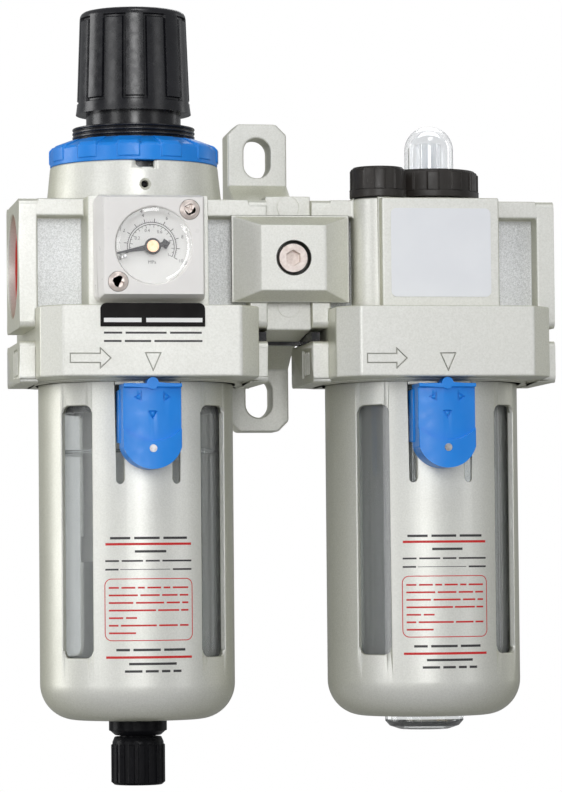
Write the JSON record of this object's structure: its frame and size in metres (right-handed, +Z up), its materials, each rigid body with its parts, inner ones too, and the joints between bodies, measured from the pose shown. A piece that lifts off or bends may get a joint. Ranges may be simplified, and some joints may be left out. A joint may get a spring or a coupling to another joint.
{
  "type": "filter regulator lubricator",
  "caption": "Modular compressed-air service unit: filter regulator with gauge and knob, spacer with wall bracket, and oil-mist lubricator, both with guarded clear bowls.",
  "frame": {"origin": "centre of the wall bracket's rear face, level with the middle of both pipe ports", "axes": "+X along the air line towards the outlet, +Y back into the wall, +Z up"},
  "size_m": [0.1936, 0.1103, 0.2782],
  "materials": {
    "painted_casting": "fine speckled warm grey enamel on a die casting",
    "guard_metal": "satin metallic grey enamel",
    "black_plastic": "moulded, slight grain",
    "blue_plastic": "moulded, satin",
    "white_plastic": "moulded",
    "gauge_plastic": "light grey moulded case",
    "filter_media": "sintered, rough",
    "clear_plastic": "clear polycarbonate",
    "dial_white": "printed white dial",
    "pointer_black": "matt black",
    "brass": "turned",
    "steel": "turned and ground",
    "nickel_screw": "nickel plated, slightly warm",
    "rubber": "matt nitrile",
    "black_label": "printed foil",
    "white_label": "blank paper label",
    "red_plastic": "moulded"
  },
  "bodies": {
    "main": {"regulator_body": "painted_casting", "bonnet": "black_plastic", "bonnet_ring": "blue_plastic", "regulating_spring": "steel", "diaphragm_plate": "brass", "diaphragm": "rubber", "valve_seat": "brass", "valve_spring": "steel", "valve_guide": "white_plastic", "deflector": "black_plastic", "filter_element": "filter_media", "element_baffle": "white_plastic", "gauge_housing": "gauge_plastic", "gauge_dial": "dial_white", "gauge_lens": "clear_plastic", "gauge_screws": "nickel_screw", "nameplate": "black_label", "rear_cover": "painted_casting", "rear_cover_screws": "nickel_screw", "inlet_seal_ring": "red_plastic", "joint_bracket": "painted_casting", "joint_clamp": "painted_casting", "clamp_screw": "nickel_screw", "joint_seals": "rubber", "joint_retainer": "black_plastic", "lubricator_body": "painted_casting", "label_plate": "white_label", "dome_seal": "rubber", "oil_tube": "clear_plastic", "oil_strainer": "brass", "lubricator_rear_plate": "painted_casting"},
    "adjusting_screw": {"adjusting_screw": "steel"},
    "adjusting_knob": {"adjusting_knob": "black_plastic"},
    "spring_seat": {"spring_seat": "brass"},
    "valve_poppet": {"valve_poppet": "brass"},
    "gauge_pointer": {"gauge_pointer": "pointer_black", "gauge_hub": "brass"},
    "filter_bowl": {"filter_bowl": "clear_plastic", "filter_bowl_seal": "rubber", "filter_bowl_guard": "guard_metal", "drain_body": "black_plastic"},
    "filter_latch": {"filter_latch": "blue_plastic", "filter_latch_pin": "steel"},
    "drain_plunger": {"drain_plunger": "steel"},
    "drain_knob": {"drain_knob": "black_plastic"},
    "lubricator_bowl": {"lubricator_bowl": "clear_plastic", "lubricator_bowl_seal": "rubber", "lubricator_bowl_guard": "guard_metal"},
    "lubricator_latch": {"lubricator_latch": "blue_plastic", "lubricator_latch_pin": "steel"},
    "fill_plug_seal": {"fill_plug_seal": "rubber"},
    "fill_plug": {"fill_plug": "black_plastic"},
    "dome_ring": {"dome_ring": "black_plastic", "sight_dome": "clear_plastic"},
    "drip_needle": {"drip_needle": "white_plastic"},
    "flow_damper": {"flow_damper": "steel"},
    "check_ball": {"check_ball": "steel"}
  },
  "joints": [
    {"name": "knob_turn", "type": "hinge", "parent": "main", "child": "adjusting_screw", "pos_m": [-0.0525, -0.057, 0.07], "axis": [0, 0, 1], "range_deg": [0, 1440]},
    {"name": "knob_lock", "type": "slide", "parent": "adjusting_screw", "child": "adjusting_knob", "axis": [0, 0, 1], "range_m": [-0.0034, 0]},
    {"name": "spring_seat_travel", "type": "slide", "parent": "main", "child": "spring_seat", "axis": [0, 0, 1], "range_m": [-0.006, 0], "deforming": ["regulating_spring"]},
    {"name": "valve_open", "type": "slide", "parent": "main", "child": "valve_poppet", "axis": [0, 0, 1], "range_m": [-0.0015, 0], "deforming": ["valve_spring"]},
    {"name": "pointer_sweep", "type": "hinge", "parent": "main", "child": "gauge_pointer", "pos_m": [-0.0525, -0.107, 0.0035], "axis": [0, 1, 0], "range_deg": [0, 218]},
    {"name": "filter_bowl_turn", "type": "hinge", "parent": "main", "child": "filter_bowl", "pos_m": [-0.0525, -0.057, -0.1], "axis": [0, 0, 1], "range_deg": [-45, 45]},
    {"name": "filter_latch_slide", "type": "slide", "parent": "filter_bowl", "child": "filter_latch", "axis": [0, 0, -1], "range_m": [0, 0.005]},
    {"name": "drain_turn", "type": "hinge", "parent": "filter_bowl", "child": "drain_knob", "pos_m": [-0.0525, -0.057, -0.177], "axis": [0, 0, 1], "range_deg": [0, 180]},
    {"name": "drain_travel", "type": "slide", "parent": "filter_bowl", "child": "drain_plunger", "axis": [0, 0, 1], "range_m": [0, 0.0015]},
    {"name": "lubricator_bowl_turn", "type": "hinge", "parent": "main", "child": "lubricator_bowl", "pos_m": [0.0525, -0.057, -0.1], "axis": [0, 0, 1], "range_deg": [-45, 45]},
    {"name": "lubricator_latch_slide", "type": "slide", "parent": "lubricator_bowl", "child": "lubricator_latch", "axis": [0, 0, -1], "range_m": [0, 0.005]},
    {"name": "fill_plug_lift", "type": "slide", "parent": "main", "child": "fill_plug_seal", "axis": [0, 0, 1], "range_m": [0, 0.009]},
    {"name": "fill_plug_turn", "type": "hinge", "parent": "fill_plug_seal", "child": "fill_plug", "pos_m": [0.0327, -0.0805, 0.023], "axis": [0, 0, 1], "range_deg": [0, 2160]},
    {"name": "drip_adjust", "type": "hinge", "parent": "main", "child": "dome_ring", "pos_m": [0.0557, -0.0605, 0.025], "axis": [0, 0, 1], "range_deg": [0, 720]},
    {"name": "needle_lift", "type": "slide", "parent": "main", "child": "drip_needle", "axis": [0, 0, 1], "range_m": [0, 0.002]},
    {"name": "damper_swing", "type": "hinge", "parent": "main", "child": "flow_damper", "pos_m": [0.0525, -0.057, 0.009], "axis": [0, 1, 0], "range_deg": [-50, 0]},
    {"name": "check_ball_lift", "type": "slide", "parent": "main", "child": "check_ball", "axis": [0, 0, 1], "range_m": [0, 0.0008]}
  ],
  "couplings": [
    {"joint": "spring_seat_travel", "follows": "knob_turn", "m_per_rad": -0.00023873},
    {"joint": "drain_travel", "follows": "drain_turn", "m_per_rad": 0.00047746},
    {"joint": "fill_plug_lift", "follows": "fill_plug_turn", "m_per_rad": 0.00023873},
    {"joint": "needle_lift", "follows": "drip_adjust", "m_per_rad": 0.00015915}
  ]
}
